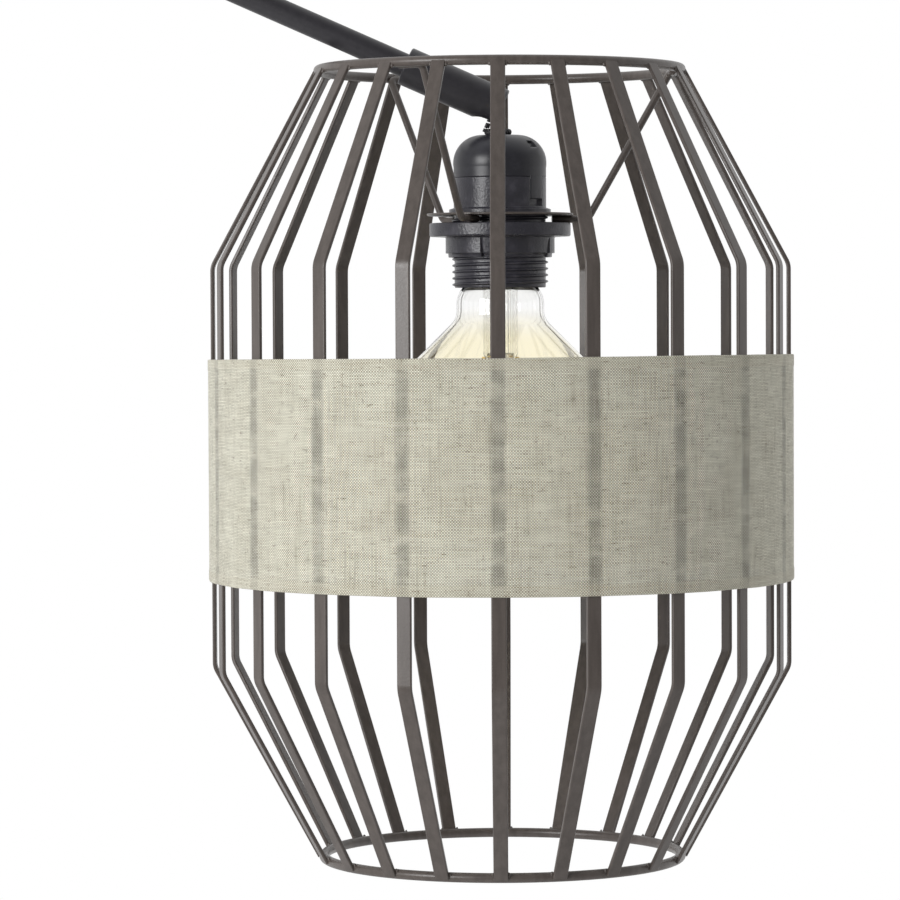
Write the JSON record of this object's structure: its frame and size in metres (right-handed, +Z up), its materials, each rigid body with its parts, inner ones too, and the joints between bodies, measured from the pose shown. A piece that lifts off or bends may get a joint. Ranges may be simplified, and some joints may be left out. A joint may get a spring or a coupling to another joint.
{
  "type": "fabric shade floor lamp",
  "caption": "Arc floor lamp with a bowed arm and a hanging open bar cage, wrapped by a linen band, around a screw lampholder and globe bulb.",
  "frame": {"origin": "centre of the flat underside of the base pad, on the pole's axis", "axes": "+Z up along the pole, +X from the pole towards the shade, +Y away from a viewer who sees the arm bow over to the right"},
  "size_m": [0.7002, 0.2816, 1.7],
  "materials": {
    "felt": "pressed felt",
    "iron": "as cast, primed",
    "pole_paint": "satin blue-black powder coat",
    "cage_paint": "satin grey-brown powder coat",
    "zinc": "zinc plated",
    "flex": "black sheath",
    "holder_plastic": "satin moulded thermoplastic",
    "grip_plastic": "moulded nylon",
    "brass": "stamped",
    "liner": "translucent stiff sheet",
    "linen": "plain woven linen",
    "cap_metal": "nickel plated",
    "cap_glass": "black vitrite with a soldered tip",
    "amber_glass": "clear glass with an amber coat",
    "clear_glass": "clear glass",
    "filament": "phosphor coated rods"
  },
  "bodies": {
    "stand": {"base_pad": "felt", "base_weight": "iron", "base_cover": "pole_paint", "cord_grommet": "holder_plastic", "threaded_nipple": "zinc", "base_nut": "zinc", "foot_collar": "pole_paint", "foot_bush": "zinc", "lower_tube": "pole_paint", "upper_tube": "pole_paint", "coupler_stud": "zinc", "coupler_socket": "zinc", "arm_socket": "pole_paint", "arm_clamp_screw": "zinc", "pole_flex": "flex"},
    "arm": {"bow_arm": "pole_paint", "arm_sleeve": "pole_paint", "arm_flex": "flex"},
    "cord_link": {"cord_drop": "flex"},
    "knot": {"cord_knot": "flex"},
    "head": {"holder_cap": "holder_plastic", "holder_body": "holder_plastic", "cord_grip": "grip_plastic", "terminal_block": "grip_plastic", "terminal_screws": "brass", "centre_contact": "brass", "side_contact": "brass", "spider_plate": "cage_paint", "spider_legs": "cage_paint", "top_ring": "cage_paint", "bottom_ring": "cage_paint", "band_liner": "liner", "linen_band": "linen", "cage_bar_01": "cage_paint", "cage_bar_02": "cage_paint", "cage_bar_03": "cage_paint", "cage_bar_04": "cage_paint", "cage_bar_05": "cage_paint", "cage_bar_06": "cage_paint", "cage_bar_07": "cage_paint", "cage_bar_08": "cage_paint", "cage_bar_09": "cage_paint", "cage_bar_10": "cage_paint", "cage_bar_11": "cage_paint", "cage_bar_12": "cage_paint", "cage_bar_13": "cage_paint", "cage_bar_14": "cage_paint", "cage_bar_15": "cage_paint", "cage_bar_16": "cage_paint", "cage_bar_17": "cage_paint", "cage_bar_18": "cage_paint", "cage_bar_19": "cage_paint", "cage_bar_20": "cage_paint"},
    "clamp_ring": {"shade_ring": "holder_plastic"},
    "bulb": {"bulb_cap": "cap_metal", "cap_insulator": "cap_glass", "bulb_glass": "amber_glass", "glass_stem": "clear_glass", "filaments": "filament"}
  },
  "joints": [
    {"name": "arm_swivel", "type": "hinge", "parent": "stand", "child": "arm", "pos_m": [0, 0, 1.45], "axis": [0, 0, 1], "range_deg": [-170, 170]},
    {"name": "swing_side", "type": "hinge", "parent": "arm", "child": "cord_link", "pos_m": [0.43985, 0, 1.5955], "axis": [0, 1, 0], "range_deg": [-6, 6]},
    {"name": "swing_front", "type": "hinge", "parent": "cord_link", "child": "knot", "pos_m": [0.43985, 0, 1.5931], "axis": [1, 0, 0], "range_deg": [-6, 6]},
    {"name": "head_turn", "type": "hinge", "parent": "knot", "child": "head", "pos_m": [0.43985, 0, 1.5903], "axis": [0, 0, 1], "range_deg": [-180, 180]},
    {"name": "ring_turn", "type": "hinge", "parent": "head", "child": "clamp_ring", "pos_m": [0.43985, 0, 1.5484], "axis": [0, 0, -1], "range_deg": [0, 360]},
    {"name": "bulb_turn", "type": "hinge", "parent": "head", "child": "bulb", "pos_m": [0.43985, 0, 1.535], "axis": [0, 0, -1], "range_deg": [0, 900]}
  ]
}
